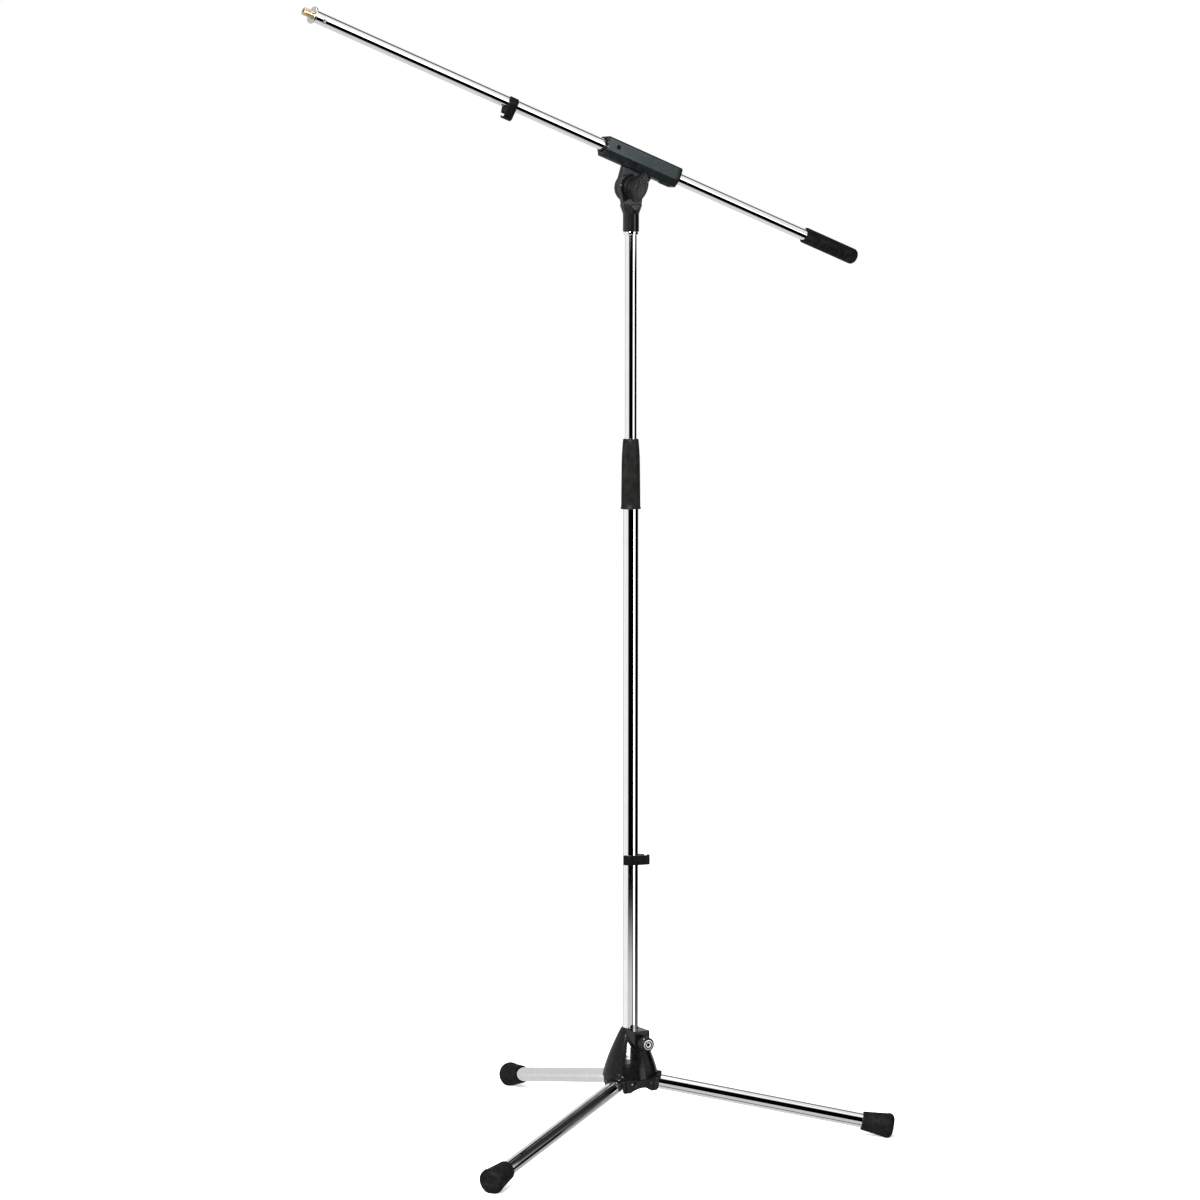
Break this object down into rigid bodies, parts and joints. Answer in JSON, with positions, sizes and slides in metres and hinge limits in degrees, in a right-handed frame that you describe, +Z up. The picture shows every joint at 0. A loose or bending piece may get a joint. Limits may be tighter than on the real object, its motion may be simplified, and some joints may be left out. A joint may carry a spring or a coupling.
{
  "type": "boom microphone stand",
  "caption": "Tall floor stand for a microphone: folding tripod base, telescopic column with twist clutch, and a tilting one-piece boom arm with a threaded stud at its tip.",
  "frame": {"origin": "on the floor, on the axis of the column", "axes": "+Z up along the column, +X along the first leg, legs at 120 degrees to each other"},
  "size_m": [0.7301, 0.5984, 1.4215],
  "materials": {
    "base_black": "glossy black lacquer on die-cast zinc",
    "hub_black": "satin black on die-cast zinc",
    "pin_steel": "bright zinc-plated steel",
    "chrome": "polished chrome plate on steel tube",
    "bright_disc": "bright turned",
    "tip_steel": "nickel-plated",
    "stud_brass": "plain machined",
    "foot_rubber": "matt black",
    "grip_black": "fine ribs",
    "tail_grip": "smooth matt sleeve",
    "knob_black": "satin moulded",
    "head_black": "glossy black lacquer",
    "block_black": "semi-gloss moulded",
    "clip_black": "semi-gloss moulded",
    "liner_plastic": "natural acetal",
    "insert_plastic": "moulded",
    "friction_fibre": "pressed fibre"
  },
  "bodies": {
    "base": {"base_hub": "hub_black", "base_bell": "base_black", "base_bush": "liner_plastic", "leg_pins": "pin_steel", "clamp_pad": "stud_brass"},
    "clamp_screw": {"clamp_screw": "pin_steel", "clamp_knob": "knob_black", "clamp_knob_disc": "bright_disc"},
    "leg_1": {"leg_tube_1": "chrome", "leg_insert_1": "insert_plastic", "foot_cap_1": "foot_rubber"},
    "leg_2": {"leg_tube_2": "chrome", "leg_insert_2": "insert_plastic", "foot_cap_2": "foot_rubber"},
    "leg_3": {"leg_tube_3": "chrome", "leg_insert_3": "insert_plastic", "foot_cap_3": "foot_rubber"},
    "column": {"lower_tube": "chrome", "tube_end_plug": "insert_plastic", "clutch_collar": "pin_steel"},
    "lower_clip": {"lower_cable_clip": "clip_black"},
    "clutch": {"clutch_grip": "grip_black"},
    "collet": {"clutch_collet": "liner_plastic"},
    "rod": {"upper_rod": "chrome", "rod_guide_bush": "liner_plastic", "rod_top_stud": "chrome", "head_socket": "head_black", "friction_disc": "friction_fibre", "knob_washer": "pin_steel"},
    "boom_head": {"clamp_block": "block_black", "block_end_cap": "block_black", "pivot_bolt": "pin_steel"},
    "tilt_knob": {"tilt_knob": "knob_black", "knob_nut": "pin_steel"},
    "sleeve": {"boom_sleeve": "liner_plastic"},
    "boom": {"boom_tube": "chrome", "tip_flange": "tip_steel", "tip_stud": "stud_brass", "boom_grip": "tail_grip"},
    "boom_clip": {"boom_cable_clip": "clip_black"}
  },
  "joints": [
    {"name": "leg_1_fold", "type": "hinge", "parent": "base", "child": "leg_1", "pos_m": [0.026, 0, 0.0744], "axis": [0, 1, 0], "range_deg": [0, 79]},
    {"name": "leg_2_fold", "type": "hinge", "parent": "base", "child": "leg_2", "pos_m": [-0.013, 0.02252, 0.0744], "axis": [-0.866, -0.5, 0], "range_deg": [0, 79]},
    {"name": "leg_3_fold", "type": "hinge", "parent": "base", "child": "leg_3", "pos_m": [-0.013, -0.02252, 0.0744], "axis": [0.866, -0.5, 0], "range_deg": [0, 79]},
    {"name": "clamp_knob_turn", "type": "hinge", "parent": "base", "child": "clamp_screw", "pos_m": [0.02, -0.03464, 0.128], "axis": [0.5, -0.866, 0], "range_deg": [-90, 540]},
    {"name": "tube_slide", "type": "slide", "parent": "base", "child": "column", "axis": [0, 0, 1], "range_m": [-0.205, 0]},
    {"name": "lower_clip_slide", "type": "slide", "parent": "column", "child": "lower_clip", "axis": [0, 0, 1], "range_m": [0, 0.43]},
    {"name": "clutch_turn", "type": "hinge", "parent": "column", "child": "clutch", "pos_m": [0, 0, 0.85], "axis": [0, 0, 1], "range_deg": [-45, 360]},
    {"name": "rod_turn", "type": "hinge", "parent": "column", "child": "collet", "pos_m": [0, 0, 0.87], "axis": [0, 0, 1], "continuous": true},
    {"name": "rod_extend", "type": "slide", "parent": "collet", "child": "rod", "axis": [0, 0, 1], "range_m": [-0.255, 0.42]},
    {"name": "boom_tilt", "type": "hinge", "parent": "rod", "child": "boom_head", "pos_m": [0, 0, 1.215], "axis": [-0.5446, 0.8387, 0], "range_deg": [-109, 62]},
    {"name": "tilt_knob_turn", "type": "hinge", "parent": "boom_head", "child": "tilt_knob", "pos_m": [0.00817, -0.01258, 1.215], "axis": [0.5446, -0.8387, 0], "range_deg": [-270, 45]},
    {"name": "boom_turn", "type": "hinge", "parent": "boom_head", "child": "sleeve", "pos_m": [0.00994, 0.00646, 1.24857], "axis": [-0.7908, -0.5136, 0.333], "continuous": true},
    {"name": "boom_slide", "type": "slide", "parent": "sleeve", "child": "boom", "axis": [-0.7908, -0.5136, 0.333], "range_m": [-0.135, 0.205]},
    {"name": "boom_clip_slide", "type": "slide", "parent": "boom", "child": "boom_clip", "axis": [-0.7908, -0.5136, 0.333], "range_m": [0, 0.27]}
  ]
}
